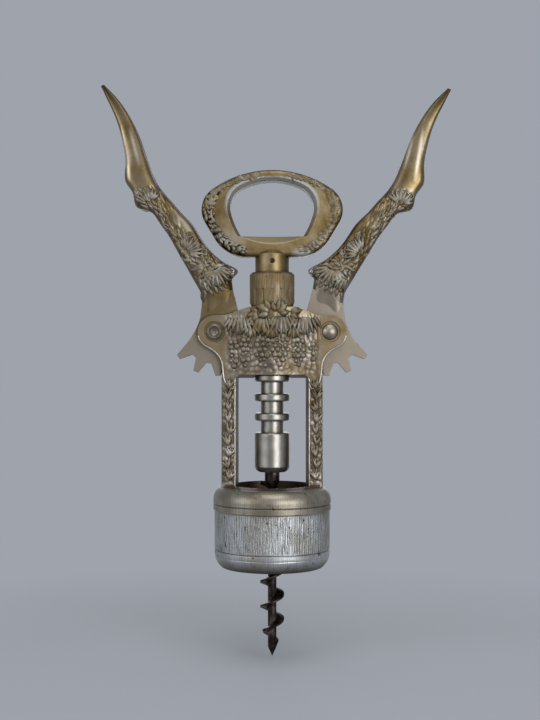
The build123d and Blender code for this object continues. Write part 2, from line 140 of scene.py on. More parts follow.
# Die-cast zinc with worn plating: bright where fingers rub it, browner on faces turned sideways
# as painted shade, and nearly black in the recesses as tarnish with painted shade, which gives the castings
# their depth
# in each casting, side is painted shade on faces turned sideways, and recess is tarnish in the hollows with
# painted shade where surfaces close in
castings = {
    "silveredZincCasting": {  # grey with brown tarnish, a soft shine on its flats
        "bright": "#a59e92", "worn": "#877c6c", "tarnish": "#6b5c44", "recess": "#1d1911",
        "side": "#5b4f3d", "patchSize": 7, "recessReach": 1.6, "grain": 0.4, "roughness": (0.34, 0.5),
    },
    "gildedZincCasting": {  # ochre wash rubbed thin, so warmer and darker
        "bright": "#9c907b", "worn": "#867453", "tarnish": "#6a5735", "recess": "#1c160c",
        "side": "#4f4126", "patchSize": 9, "recessReach": 1.4, "grain": 0.5, "roughness": (0.36, 0.5),
    },
    "silveredZincLeaves": {  # rubbed relief: paler than its ground, and dull
        "bright": "#9f9a90", "worn": "#857c6d", "tarnish": "#6d6250", "recess": "#3b3326",
        "side": "#5f5544", "patchSize": 3.5, "recessReach": 0.8, "grain": 0.35, "roughness": (0.44, 0.6),
    },
    "gildedZincLeaves": {  # relief that kept its wash: browner and dull
        "bright": "#968e7e", "worn": "#7e725b", "tarnish": "#65573d", "recess": "#342b1b",
        "side": "#51442b", "patchSize": 4.5, "recessReach": 0.8, "grain": 0.35, "roughness": (0.44, 0.6),
    },
    "polishedZincEdge": {  # bare metal: a thin bright line
        "bright": "#cfcac0", "worn": "#bdb5a6", "tarnish": "#a0937b", "recess": "#4a4233",
        "side": "#a3998a", "patchSize": 5, "recessReach": 0.4, "grain": 0.4, "roughness": (0.28, 0.4),
    },
    "tarnishedZincGrapes": {  # small beads, pale on top, with painted shade nearly black between them
        "bright": "#a0978a", "worn": "#83786a", "tarnish": "#655844", "recess": "#2b251b",
        "side": "#4b4130", "patchSize": 3, "recessReach": 0.9, "grain": 0.3, "roughness": (0.44, 0.6),
    },
}


def castMetal(casting, dress=None, dressName=""):
    # a casting's metal; a dress function changes its surface for one piece
    look = castings[casting]
    material, tree, place = startMaterial(casting + dressName)
    patches = addNode(tree, "ShaderNodeTexNoise", None, {
        "Vector": place, "Scale": 1 / (look["patchSize"] * mm), "Detail": 5.0, "Roughness": 0.62})
    tone = addNode(tree, "ShaderNodeValToRGB", None, {"Fac": patches},
                   [(0.34, look["tarnish"]), (0.49, look["worn"]), (0.68, look["bright"])])
    # ambient occlusion darkens the recesses and the gaps between parts: tarnish in the hollows and painted
    # shade
    hollows = addNode(tree, "ShaderNodeAmbientOcclusion", {"samples": 6},
                      {"Distance": look["recessReach"] * mm})
    hollowTarnishAndShade = addNode(tree, "ShaderNodeValToRGB", None, {"Fac": hollows.outputs["AO"]},
                    [(0.38, 1.0), (0.86, 0.0)])
    # faces turned sideways are darkened with the side colour: painted shade
    facing = addNode(tree, "ShaderNodeTexCoord").outputs["Normal"]
    facing = addNode(tree, "ShaderNodeVectorMath", {"operation": "ABSOLUTE"}, {0: facing})
    facing = addNode(tree, "ShaderNodeSeparateXYZ", None, {"Vector": facing})
    sideShade = addNode(tree, "ShaderNodeMapRange", None, {
        "Value": facing.outputs["Y"], "From Min": 0.75, "From Max": 0.15, "To Max": 0.75})
    shine = addNode(tree, "ShaderNodeMapRange", None, {
        "Value": patches, "To Min": look["roughness"][1], "To Max": look["roughness"][0]})
    grain = addNode(tree, "ShaderNodeTexNoise", None, {
        "Vector": place, "Scale": 1 / (look["grain"] * mm), "Detail": 3.0})
    edges = addNode(tree, "ShaderNodeBevel", {"samples": 4}, {"Radius": 0.35 * mm})
    bump = addNode(tree, "ShaderNodeBump", None, {
        "Height": grain, "Normal": edges, "Strength": 0.3, "Distance": 0.05 * mm})
    colour = layTints(tree, tone, [(look["side"], sideShade), (look["recess"], hollowTarnishAndShade)])
    surface = {"Base Color": colour, "Metallic": 0.95, "Roughness": shine, "Normal": bump}
    if dress:
        dress(tree, place, hollowTarnishAndShade, surface)
    finishMaterial(tree, surface)
    return material


# Turned and plated steel of the sleeve and washer: clean, semi bright, fine turning rings, with painted shade
# in its grooves
def turnedSteel():
    material, tree, place = startMaterial("nickelPlatedSteel")
    haze = addNode(tree, "ShaderNodeTexNoise", None, {"Vector": place, "Scale": 1 / (5 * mm), "Detail": 4.0})
    tone = addNode(tree, "ShaderNodeValToRGB", None, {"Fac": haze}, [(0.36, "#8b867c"), (0.6, "#a5a29b")])
    # ambient occlusion darkens the grooves between the rings: painted shade
    hollows = addNode(tree, "ShaderNodeAmbientOcclusion", {"samples": 6}, {"Distance": 1.6 * mm})
    hollowTarnishAndShade = addNode(tree, "ShaderNodeValToRGB", None, {"Fac": hollows.outputs["AO"]},
                    [(0.2, 1.0), (0.7, 0.0)])
    rings = addNode(tree, "ShaderNodeMapping", None, {"Vector": place, "Scale": (1, 1, 60)})
    turning = addNode(tree, "ShaderNodeTexNoise", None, {
        "Vector": rings, "Scale": 1 / (12 * mm), "Detail": 2.0})
    edges = addNode(tree, "ShaderNodeBevel", {"samples": 4}, {"Radius": 0.4 * mm})
    bump = addNode(tree, "ShaderNodeBump", None, {
        "Height": turning, "Normal": edges, "Strength": 0.05, "Distance": 0.02 * mm})
    finishMaterial(tree, {"Base Color": layTints(tree, tone, [("#3a3428", hollowTarnishAndShade)]),
                          "Metallic": 1.0, "Roughness": 0.34, "Normal": bump})
    return material


# Oxidised steel of the worm and cross pin: brown black with a dull shine along its edges
def oxidisedSteel():
    material, tree, place = startMaterial("oxidisedSteel")
    spots = addNode(tree, "ShaderNodeTexNoise", None, {
        "Vector": place, "Scale": 1 / (2.5 * mm), "Detail": 5.0})
    tone = addNode(tree, "ShaderNodeValToRGB", None, {"Fac": spots},
                   [(0.38, "#1d1714"), (0.55, "#3a312b"), (0.7, "#6a6059")])
    edges = addNode(tree, "ShaderNodeBevel", {"samples": 4}, {"Radius": 0.2 * mm})
    bump = addNode(tree, "ShaderNodeBump", None, {
        "Height": spots, "Normal": edges, "Strength": 0.4, "Distance": 0.06 * mm})
    finishMaterial(tree, {"Base Color": tone, "Metallic": 0.85, "Roughness": 0.38, "Normal": bump})
    return material


def knobs(tree, place, cell, stretch=(1, 1, 1)):
    # low soft knobs of cast relief, one per cell, 1 on their tops and 0 in the gaps
    scaled = addNode(tree, "ShaderNodeMapping", None, {"Vector": place, "Scale": stretch})
    cells = addNode(tree, "ShaderNodeTexVoronoi", None, {
        "Vector": scaled, "Scale": 1 / (cell * mm), "Randomness": 0.8})
    return addNode(tree, "ShaderNodeMapRange", None, {"Value": cells, "From Min": 0.66, "From Max": 0.2})


def carve(tree, surface, ground, relief, gapTarnishAndShadeColour, share=1.0):
    # darkens the gaps of that relief within the ground's mask, as dark tarnish with painted shade, and raises
    # its knobs
    gapTarnishAndShade = addNode(tree, "ShaderNodeMapRange", None, {
        "Value": relief, "From Max": 0.7, "To Min": share, "To Max": 0.0})
    surface["Base Color"] = layTints(tree, surface["Base Color"], [(gapTarnishAndShadeColour, gapTarnishAndShade, ground)])
    surface["Normal"] = addNode(tree, "ShaderNodeBump", None, {
        "Height": relief, "Strength": ground, "Normal": surface["Normal"], "Distance": 0.45 * mm})


# The frame's casting: oak grain on the barrel, bark streaks on the neck, and dark ground
# behind the grapes and the leg vines, unrubbed tarnish with painted shade in the gaps of its relief
frameLook = {
    "parts": {  # from, to and softness in millimetres of what bounds each part
        "barrel": {"z": (None, 26.6, 0.3)}, "staves": {"z": (6.2, 17.7, 0.25)},
        "hoop": {"z": (18.0, 26.4, 0.8)}, "hoopLine": {"z": (3.78, 4.02, 0.12)},
        # the bell's bottom rim, darkened as painted shade
        "mouth": {"z": (None, 1.9, 1.4)},
        "bore": {"z": (None, 26.6, 0.3), "radius": (None, 15.75, 0.1)},
        "neck": {"z": (84.2, 94.2, 0.8)}, "shoulder": {"z": (80.6, None, 0.8)},
        "ears": {"sideways": (15.0, None, 1.2), "z": (60, None, 1.0)},
        "head": {"sideways": (None, 14.2, 1.6), "z": (61.6, 80.8, 1.4), "outward": (4.2, None, 0.2)},
        "leg": {"sideways": (11.9, 17.5, 0.3), "z": (27.0, 57.5, 0.6), "outward": (3.3, None, 0.2)},
        "leaves": {"z": (72.8, None, 0.4)},
    },
    "barrelRadius": 18.6, "grainStep": 0.8, "grainWaves": 8.0, "waveSize": 3.2, "grainDepth": 0.12,
    "offStaves": 0.4, "barkWidth": 0.42, "pitSize": 1.5, "cloudSize": 8,
    "silver": ("#a4a29c", "#c6c9ca"), "line": "#6f6b61", "yellow": "#ab9463", "yellowShare": 0.62,
    "pit": "#4a4336", "recess": "#2e291e", "mouth": "#5d564a", "bore": "#584a3e",
    "barkGap": "#5f543f", "ochre": "#7d6a45", "ochreShare": 0.55,
    "grapeCell": 1.75, "leafCell": 1.3, "leafStretch": (1, 1, 0.4), "ground": "#2a2419",
    "grapeGround": 0.4, "leafGround": 0.5, "hoopLineDepth": 0.2,
}


def oakAndBark(tree, place, hollowTarnishAndShade, surface):
    look, parts = frameLook, frameLook["parts"]
    measures = measurePlace(tree, place)
    flat = addNode(tree, "ShaderNodeMapping", None, {"Vector": place, "Scale": (1, 1, 0)})
    measures["radius"] = addNode(tree, "ShaderNodeVectorMath", {"operation": "LENGTH"}, {0: flat})
    onBarrel, onStaves, onHoop, onHoopLine, onShadedMouth, inBore, onNeck, onLeaves = [
        maskOf(tree, measures, parts, name)
        for name in ("barrel", "staves", "hoop", "hoopLine", "mouth", "bore", "neck", "leaves")]

    # upright streaks of the bark, which also break up the lines of the oak
    stretched = addNode(tree, "ShaderNodeMapping", None, {"Vector": place, "Scale": (1, 1, 0.09)})
    grain = addNode(tree, "ShaderNodeTexNoise", None, {
        "Vector": stretched, "Scale": 1 / (look["barkWidth"] * mm), "Detail": 3.0, "Distortion": 0.25})
    barkGaps = addNode(tree, "ShaderNodeValToRGB", None, {"Fac": grain}, [(0.36, 1.0), (0.52, 0.0)])
    # wavy lines round the barrel: a sine of the angle, bent by noise and fading in and out
    around = addNode(tree, "ShaderNodeMath", {"operation": "ARCTAN2"}, {0: measures["y"], 1: measures["x"]})
    slowed = addNode(tree, "ShaderNodeMapping", None, {"Vector": place, "Scale": (1, 1, 0.3)})
    bends = addNode(tree, "ShaderNodeTexNoise", None, {
        "Vector": slowed, "Scale": 1 / (look["waveSize"] * mm), "Detail": 2.0})
    bend = addNode(tree, "ShaderNodeMapRange", None, {
        "Value": bends, "To Min": -look["grainWaves"], "To Max": look["grainWaves"]})
    lineCount = round(2 * pi * look["barrelRadius"] / look["grainStep"])
    phase = addNode(tree, "ShaderNodeMath", {"operation": "MULTIPLY_ADD"}, {0: around, 1: lineCount, 2: bend})
    waves = addNode(tree, "ShaderNodeMath", {"operation": "SINE"}, {0: phase})
    waveGaps = addNode(tree, "ShaderNodeMapRange", None, {
        "Value": waves, "From Min": -1.0, "From Max": 0.3, "To Min": 1.0, "To Max": 0.0})
    oakGaps = addNode(tree, "ShaderNodeMix", {"data_type": "FLOAT"}, {0: 0.5, 2: waveGaps, 3: barkGaps})
    lineShare = addNode(tree, "ShaderNodeMapRange", None, {"Value": onStaves, "To Min": look["offStaves"]})

    clouds = addNode(tree, "ShaderNodeTexNoise", None, {
        "Vector": place, "Scale": 1 / (look["cloudSize"] * mm), "Detail": 4.0})
    silver = addNode(tree, "ShaderNodeValToRGB", None, {"Fac": clouds},
                     [(0.38, look["silver"][0]), (0.62, look["silver"][1])])
    pits = addNode(tree, "ShaderNodeTexNoise", None, {
        "Vector": place, "Scale": 1 / (look["pitSize"] * mm), "Detail": 2.0})
    pitted = addNode(tree, "ShaderNodeValToRGB", None, {"Fac": pits}, [(0.665, 0.0), (0.73, 1.0)])
    lined = layTints(tree, silver, [(look["line"], oakGaps, lineShare)])
    yellowed = addNode(tree, "ShaderNodeMix", {"data_type": "RGBA", "blend_type": "MULTIPLY"},
                       {0: 1.0, 6: lined, 7: look["yellow"]})
    # the recess colour is tarnish with painted shade, and the bottom rim's dark colour is painted shade
    barrel = layTints(tree, lined, [
        (yellowed, onHoop, look["yellowShare"]), (look["pit"], pitted), (look["recess"], hollowTarnishAndShade),
        (look["mouth"], onShadedMouth), (look["bore"], inBore)])
    onOchre = maskOf(tree, measures, parts, "ears", "shoulder")
    surface["Base Color"] = layTints(tree, surface["Base Color"], [
        (look["barkGap"], barkGaps, onNeck), (look["ochre"], onOchre, look["ochreShare"]),
        (barrel, onBarrel)])

    relief = addNode(tree, "ShaderNodeMix", {"data_type": "FLOAT"}, {
        0: onLeaves, 2: knobs(tree, place, look["grapeCell"]),
        3: knobs(tree, place, look["leafCell"], look["leafStretch"])})
    groundShare = addNode(tree, "ShaderNodeMapRange", None, {
        "Value": maskOf(tree, measures, parts, "leaves", "leg"),
        "To Min": look["grapeGround"], "To Max": look["leafGround"]})
    ground = overlap(tree, [maskOf(tree, measures, parts, "head", "leg"), groundShare])
    carve(tree, surface, ground, relief, look["ground"])
    oakBump = addNode(tree, "ShaderNodeBump", {"invert": True}, {
        "Height": oakGaps, "Strength": maskOf(tree, measures, parts, "staves", "neck"),
        "Normal": surface["Normal"], "Distance": look["grainDepth"] * mm})
    surface["Normal"] = addNode(tree, "ShaderNodeBump", {"invert": True}, {
        "Height": onHoopLine, "Normal": oakBump, "Strength": 0.5, "Distance": look["hoopLineDepth"] * mm})


# The levers' casting, with dark ground under the leaves that cover the middle of each arm, tarnish with
# painted shade in its gaps, a base with painted shade on the left and painted light in cream on the right,
# cream sectors, and a glossy horn with two painted highlights
leverLook = {
    "lean": 25.2,
    "parts": {
        "leafy": {"along": (12.0, 50.5, 1.5), "outward": (1.6, None, 0.6)},
        "lower": {"along": (None, 27, 2)}, "outerEdge": {"inward": (None, 4.6, 1.2)},
        "shadedLeftBase": {"x": (None, 0, 0.5), "along": (3, 16.0, 2.5)},
        "sector": {"along": (None, 1.5, 3.5)},
        "litRightBase": {"x": (0, None, 0.5), "along": (None, 16.0, 4.5)},
        "beak": {"along": (12.5, 18.5, 0.6), "inward": (12.6, 20, 0.6)},
        "horn": {"along": (50.5, None, 5)}, "tip": {"along": (80, None, 6)},
        "upperHighlight": {"along": (57.0, 71.0, 2.5), "upperHighlight": (-19.8, -19.0, 0.45)},
        "lowerHighlight": {"along": (60.0, 69.0, 2.5), "lowerHighlight": (-10.0, -9.2, 0.45)},
    },
    "highlightSlopes": {"upperHighlight": 0.28, "lowerHighlight": 0.18},
    "hornTint": "#806d4a", "shadedLeftBase": "#54462e", "cream": "#8f877c", "beak": "#b9b8b4",
    "tip": "#3f3727", "hornHighlight": "#d6cbb6", "ground": "#2f2718", "groundShare": 0.5,
    "hornRoughness": 0.33, "cell": 1.5, "stretch": (1, 1, 0.5),
}


def leafGround(tree, place, hollowTarnishAndShade, surface):
    look, parts = leverLook, leverLook["parts"]
    measures = measurePlace(tree, place)
    lean = radians(look["lean"])
    folded = addNode(tree, "ShaderNodeCombineXYZ", None, {"X": measures["sideways"], "Z": measures["z"]})
    up = addNode(tree, "ShaderNodeVectorMath", {"operation": "DOT_PRODUCT"},
                 {0: folded, 1: (sin(lean), 0, cos(lean))})
    out = addNode(tree, "ShaderNodeVectorMath", {"operation": "DOT_PRODUCT"},
                  {0: folded, 1: (cos(lean), 0, -sin(lean))})
    # both measures start at the pivot
    upToPivot = (rivetPlace[0] * sin(lean) + rivetPlace[1] * cos(lean)) * mm
    outToPivot = (rivetPlace[0] * cos(lean) - rivetPlace[1] * sin(lean)) * mm
    measures["along"] = addNode(tree, "ShaderNodeMath", {"operation": "SUBTRACT"}, {0: up, 1: upToPivot})
    measures["inward"] = addNode(tree, "ShaderNodeMath", {"operation": "SUBTRACT"}, {0: outToPivot, 1: out})
    # two painted highlights run along the horn, on lines that lean across it
    for name, slope in look["highlightSlopes"].items():
        measures[name] = addNode(tree, "ShaderNodeMath", {"operation": "MULTIPLY_ADD"},
                                 {0: measures["along"], 1: -slope, 2: measures["inward"]})
    onHorn = maskOf(tree, measures, parts, "horn")
    surface["Base Color"] = layTints(tree, surface["Base Color"], [
        (look["hornTint"], onHorn, onHorn, 0.4),
        # painted shade on the left lever's base, and painted light in cream on the right one's
        (look["shadedLeftBase"], maskOf(tree, measures, parts, "shadedLeftBase"), 0.55),
        (look["cream"], maskOf(tree, measures, parts, "sector", "litRightBase"), 0.75),
        (look["beak"], maskOf(tree, measures, parts, "beak")),
        (look["tip"], maskOf(tree, measures, parts, "tip")),
        (look["hornHighlight"], maskOf(tree, measures, parts, "upperHighlight", "lowerHighlight"))])
    surface["Roughness"] = addNode(tree, "ShaderNodeMix", {"data_type": "FLOAT"}, {
        0: onHorn, 2: surface["Roughness"], 3: look["hornRoughness"]})
    alongArm = addNode(tree, "ShaderNodeCombineXYZ", None, {"X": out, "Y": measures["outward"], "Z": up})
    ground = overlap(tree, [maskOf(tree, measures, parts, "leafy"),
                            maskOf(tree, measures, parts, "lower", "outerEdge")])
    carve(tree, surface, ground, knobs(tree, alongArm, look["cell"], look["stretch"]),
          look["ground"], look["groundShare"])


# The handle's casting: ochre, with dark ground under the band of leaves, tarnish with painted shade in its
# gaps, and worn to bright silver round the inside of the loop, with a paler crescent on the lip under it, a
# painted highlight at the lower right and painted shade on the loop's inner wall
handleLook = {
    "rim": {"centre": 115.2, "halfWidth": 15.1, "halfHeight": 9.95, "power": 2.5},
    "leafEdge": {"centre": 113.4, "halfWidth": 18.4, "halfHeight": 11.2, "power": 2.5},
    "parts": {
        "loop": {"outward": (3.2, None, 0.2), "z": (99, 124, 1.5)},
        "sides": {"sideways": (8.5, None, 1.0)}, "top": {"z": (112, None, 1.0)},
        "chamfer": {"outward": (3.05, None, 0.15), "z": (115.5, None, 3.5)},
        # the loop's inner wall, darkened as painted shade
        "shadedInnerWall": {"outward": (None, 3.05, 0.15), "z": (106.8, None, 0.4)},
        "crescent": {"level": (103.4, 106.3, 0.2), "sideways": (None, 10.0, 0.2)},
        # a bright spot at the lower right of the loop: painted highlight
        "lowerRightHighlight": {"x": (7.4, 12.6, 1.6), "z": (98.0, 101.4, 1.1)},
    },
    "crescentDrop": 2.6, "crescentHalf": 10.0, "cell": 1.7,
    "bandReach": 8, "bandOnLeft": 1.0, "bandOnRight": 0.35,  # the band is darker on the left
    "ground": "#1c160c", "crescent": "#a0916f", "lowerRightHighlight": "#c3c4c0", "shadedInnerWall": "#4a4337",
    "bare": "#a6a8a4",
}


def insideLoop(tree, place, loop):
    # 1 inside a rounded loop about the handle's middle, with a soft edge
    centred = addNode(tree, "ShaderNodeMapping", None, {
        "Vector": place, "Location": (0, 0, -loop["centre"] * mm)})
    sized = addNode(tree, "ShaderNodeVectorMath", {"operation": "MULTIPLY"}, {
        0: centred, 1: (1 / (loop["halfWidth"] * mm), 0, 1 / (loop["halfHeight"] * mm))})
    sized = addNode(tree, "ShaderNodeVectorMath", {"operation": "ABSOLUTE"}, {0: sized})
    parts = addNode(tree, "ShaderNodeSeparateXYZ", None, {"Vector": sized}).outputs
    wide, high = [addNode(tree, "ShaderNodeMath", {"operation": "POWER"}, {0: parts[axis], 1: loop["power"]})
                  for axis in ("X", "Z")]
    total = addNode(tree, "ShaderNodeMath", {"operation": "ADD"}, {0: wide, 1: high})
    return addNode(tree, "ShaderNodeMapRange", None, {"Value": total, "From Min": 1.06, "From Max": 0.94})


def wornRim(tree, place, hollowTarnishAndShade, surface):
    look, parts = handleLook, handleLook["parts"]
    measures = measurePlace(tree, place)
    # the lip's crescent under the opening lies above a line that sags between its ends
    squared = addNode(tree, "ShaderNodeMath", {"operation": "MULTIPLY"}, {0: measures["x"], 1: measures["x"]})
    sag = -look["crescentDrop"] / (look["crescentHalf"] ** 2 * mm)
    measures["level"] = addNode(tree, "ShaderNodeMath", {"operation": "MULTIPLY_ADD"},
                                {0: squared, 1: sag, 2: measures["z"]})
    outside = addNode(tree, "ShaderNodeMath", {"operation": "SUBTRACT"},
                      {0: 1.0, 1: insideLoop(tree, place, look["leafEdge"])})
    leftmost = addNode(tree, "ShaderNodeMapRange", None, {
        "Value": measures["x"], "From Min": look["bandReach"] * mm, "From Max": -look["bandReach"] * mm,
        "To Min": look["bandOnRight"], "To Max": look["bandOnLeft"]})
    band = overlap(tree, [outside, maskOf(tree, measures, parts, "loop"),
                          maskOf(tree, measures, parts, "sides", "top"), leftmost])
    carve(tree, surface, band, knobs(tree, place, look["cell"]), look["ground"])
    nearRim = insideLoop(tree, place, look["rim"])
    # the crescent is paler, the lower right spot is a painted highlight, the inner wall is painted shade and
    # the chamfer is worn silver
    surface["Base Color"] = layTints(tree, surface["Base Color"], [
        (look["crescent"], maskOf(tree, measures, parts, "crescent")),
        (look["lowerRightHighlight"], maskOf(tree, measures, parts, "lowerRightHighlight")),
        (look["shadedInnerWall"], nearRim, maskOf(tree, measures, parts, "shadedInnerWall")),
        (look["bare"], nearRim, maskOf(tree, measures, parts, "chamfer"))])


frameMetal = castMetal("silveredZincCasting", oakAndBark, "WithOakGrain")
leverMetal = castMetal("gildedZincCasting", leafGround, "WithLeafGround")
handleMetal = castMetal("gildedZincCasting", wornRim, "WithWornRim")
plainMetal = castMetal("silveredZincCasting")
wornMetal = castMetal("polishedZincEdge")
silverLeafMetal = castMetal("silveredZincLeaves")
goldenLeafMetal = castMetal("gildedZincLeaves")
grapeMetal = castMetal("tarnishedZincGrapes")
steelMetal = turnedSteel()
wormMetal = oxidisedSteel()
nodeMetals = {
    "frame": frameMetal, "left_lever": leverMetal, "right_lever": leverMetal,
    "left_rivet": plainMetal, "right_rivet": plainMetal, "rack_sleeve": steelMetal,
    "thrust_washer": steelMetal, "worm": wormMetal, "handle": handleMetal, "handle_pin": wormMetal,
}
for nodeName, metal in nodeMetals.items():
    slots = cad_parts[nodeName].data.materials
    slots.clear()
    slots.append(metal)
print("materials made")


# modelling helpers

def finishShape(name):
    piece = bpy.context.active_object
    piece.name = piece.data.name = name
    return piece


def addObject(name, data):
    piece = bpy.data.objects.new(name, data)
    bpy.context.collection.objects.link(piece)
    return piece


def selectOnly(pieces):
    bpy.ops.object.select_all(action="DESELECT")
    for piece in pieces:
        piece.select_set(True)
    bpy.context.view_layer.objects.active = pieces[0]


def makePetal():
    # a long lobe of a leaf, from its root at x 0 to its tip at x 1, one unit wide and high
    bpy.ops.mesh.primitive_uv_sphere_add(segments=8, ring_count=6, radius=0.5)
    petal = finishShape("petal")
    bpy.ops.object.mode_set(mode="EDIT")
    bpy.ops.transform.rotate(value=pi / 2, orient_axis="Y", center_override=(0, 0, 0))
    bpy.ops.transform.translate(value=(0.5, 0, 0))
    bpy.ops.mesh.select_all(action="DESELECT")
    bpy.ops.object.mode_set(mode="OBJECT")
    for limit, squeeze in ((0.7, 0.72), (0.84, 0.55)):  # draws the tip in twice
        for vertex in petal.data.vertices:
            vertex.select = vertex.co.x > limit
        bpy.ops.object.mode_set(mode="EDIT")
        bpy.ops.transform.resize(value=(1, squeeze, squeeze + 0.15), center_override=(limit, 0, 0))
        bpy.ops.mesh.select_all(action="DESELECT")
        bpy.ops.object.mode_set(mode="OBJECT")
    return petal


def makeGrape():
    bpy.ops.mesh.primitive_ico_sphere_add(subdivisions=2, radius=0.5)
    return finishShape("grape")


def makeCurl():
    # a tendril rolled up in a ring, one unit across, with a bead in its middle
    bpy.ops.mesh.primitive_torus_add(major_segments=12, minor_segments=6, major_radius=0.38,
                                     minor_radius=0.13)
    ring = finishShape("curl")
    bpy.ops.mesh.primitive_ico_sphere_add(subdivisions=1, radius=0.16)
    selectOnly([ring, bpy.context.active_object])
    bpy.ops.object.join()
    return ring


petalShape = makePetal()
grapeShape = makeGrape()
curlShape = makeCurl()


def seatOn(nodeName, x, z, side):
    # the point and normal of a node's surface straight behind x, z as seen from that side
    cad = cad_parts[nodeName]
    hit, place, normal, face = cad.ray_cast(Vector((x, side * 50 * mm, z)), Vector((0, -side, 0)))
    return (place, normal) if hit else (None, None)


def stamp(shape, matrix):
    copy = shape.copy()
    copy.data = shape.data.copy()
    copy.data.transform(matrix)
    bpy.context.collection.objects.link(copy)
    return copy


seating = {"overhang": 0.38, "tallestStep": 1.6}  # share of a shape past its middle; millimetres


def layShape(shape, nodeName, x, z, angle, size, side, sink=0.0, tilt=0.0):
    # lays a shape on a node's face, its length along the angle from +X to +Z, unless one
    # of its ends would hang over the edge
    place, normal = seatOn(nodeName, x, z, side)
    reach = size[0] * seating["overhang"]
    ends = [seatOn(nodeName, x + way * reach * cos(angle), z + way * reach * sin(angle), side)[0]
            for way in (-1, 1)]
    if place is None or None in ends:
        return []
    if max(abs(end.y - place.y) for end in ends) > seating["tallestStep"] * mm:
        return []
    along = Vector((cos(angle), 0, sin(angle)))
    along = (along - normal * along.dot(normal)).normalized()
    across = normal.cross(along)
    turned = (along * cos(tilt) + normal * sin(tilt)).normalized()
    raised = turned.cross(across)
    columns = [turned * size[0], across * size[1], raised * size[2]]
    matrix = Matrix([[c[row] for c in columns] + [0] for row in range(3)] + [[0, 0, 0, 1]])
    centre = 0.5 if shape is petalShape else 0.0
    start = place - turned * size[0] * centre - normal * sink
    return [stamp(shape, Matrix.Translation(start) @ matrix)]


# a fan's blade and lobes as shares of its own sizes, its sink and rise in millimetres
leafFan = {"bladeMiddle": 0.48, "bladeLength": 0.9, "bladeWidth": 0.55, "rootWidth": 0.6, "bladeSink": 0.1,
           "shortEnds": 0.5, "lobeMiddle": 0.55, "lobeRise": 0.5, "lengths": (0.9, 1.1),
           "widths": (0.9, 1.15), "tilt": 4, "tilts": (0.3, 1.3)}


def layFan(nodeName, fan, side):
    # a leaf seen as lobes over a low blade, spread from a stalk or side by side from a root
    copies, look = [], leafFan
    points, root = radians(fan["points"]), fan.get("root", 0.0)
    middle = [place * mm + way * fan["length"] * look["bladeMiddle"] * mm
              for place, way in zip(fan["at"], (cos(points), sin(points)))]
    blade = (fan["length"] * look["bladeLength"] * mm,
             (fan["length"] * look["bladeWidth"] + root * look["rootWidth"]) * mm, fan["height"] * mm)
    copies += layShape(grapeShape, nodeName, *middle, points, blade, side, look["bladeSink"] * mm)
    for number in range(fan["lobes"]):
        share = number / (fan["lobes"] - 1) - 0.5
        angle = points + radians(fan["spread"]) * share
        length = fan["length"] * (1 - look["shortEnds"] * abs(share)) * chance.uniform(*look["lengths"]) * mm
        width = fan["width"] * chance.uniform(*look["widths"]) * mm
        centre = length * look["lobeMiddle"]
        x = (fan["at"][0] - sin(points) * root * share) * mm + cos(angle) * centre
        z = (fan["at"][1] + cos(points) * root * share) * mm + sin(angle) * centre
        size = (length, width, (fan["height"] + look["lobeRise"]) * mm)
        copies += layShape(petalShape, nodeName, x, z, angle, size, side, 0.0,
                           radians(look["tilt"]) * chance.uniform(*look["tilts"]))
    return copies


def joinCopies(copies, name, body, metal):
    selectOnly(copies)
    bpy.ops.object.join()
    piece = finishShape(name)
    bpy.ops.object.shade_smooth()
    piece.data.materials.clear()
    piece.data.materials.append(metal)
    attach(piece, body)
    piece.select_set(False)
    return piece


# Leaves and grapes on both faces of the head

headOrnament = {
    "fans": [
        {"at": (-10.4, 80.4), "points": -90, "spread": 62, "root": 5.4, "lobes": 8, "length": 6.4},
        {"at": (-3.6, 80.4), "points": -98, "spread": 70, "root": 4.4, "lobes": 7, "length": 6.0},
        {"at": (3.2, 80.8), "points": -86, "spread": 74, "root": 4.6, "lobes": 8, "length": 6.8},
        {"at": (10.3, 80.6), "points": -88, "spread": 62, "root": 5.6, "lobes": 8, "length": 6.8},
        {"at": (-6.9, 77.2), "points": -92, "spread": 80, "root": 2.4, "lobes": 5, "length": 4.0},
        {"at": (-0.2, 76.9), "points": -86, "spread": 80, "root": 2.4, "lobes": 5, "length": 4.2},
        {"at": (6.9, 77.0), "points": -94, "spread": 80, "root": 2.4, "lobes": 5, "length": 4.0},
    ],
    "wornFans": (0, 2, 3), "lobe": {"width": 1.4, "height": 1.1},
    "bunches": [
        {"top": (-12.3, 72.2), "rows": (2, 2, 2, 2, 2, 1)},
        {"top": (-8.6, 72.8), "rows": (2, 3, 2, 2, 2, 1)},
        {"top": (-3.2, 72.8), "rows": (3, 3, 2, 3, 2, 2)},
        {"top": (2.5, 72.8), "rows": (4, 3, 4, 3, 2, 1)},
        {"top": (8.3, 72.6), "rows": (3, 3, 3, 3, 2, 1)},
        {"top": (13.0, 71.6), "rows": (1, 2, 1, 1)},
    ],
    "grape": 1.85, "grapeSizes": (0.8, 1.12), "grapeHeight": 1.15, "columnStep": 1.56, "rowDrop": 1.58,
    "wander": 0.24, "sink": 0.1,
    "neckFans": [
        {"at": (-0.7, 81.7), "points": 156, "spread": 76, "lobes": 3, "length": 5.2},
        {"at": (-4.2, 81.2), "points": 190, "spread": 60, "lobes": 3, "length": 4.0},
        {"at": (1.6, 81.2), "points": 62, "spread": 96, "lobes": 4, "length": 5.2},
        {"at": (5.4, 81.4), "points": 12, "spread": 60, "lobes": 3, "length": 4.4},
    ],
    "neckLobe": {"width": 2.1, "height": 1.2, "root": 1.0},
}


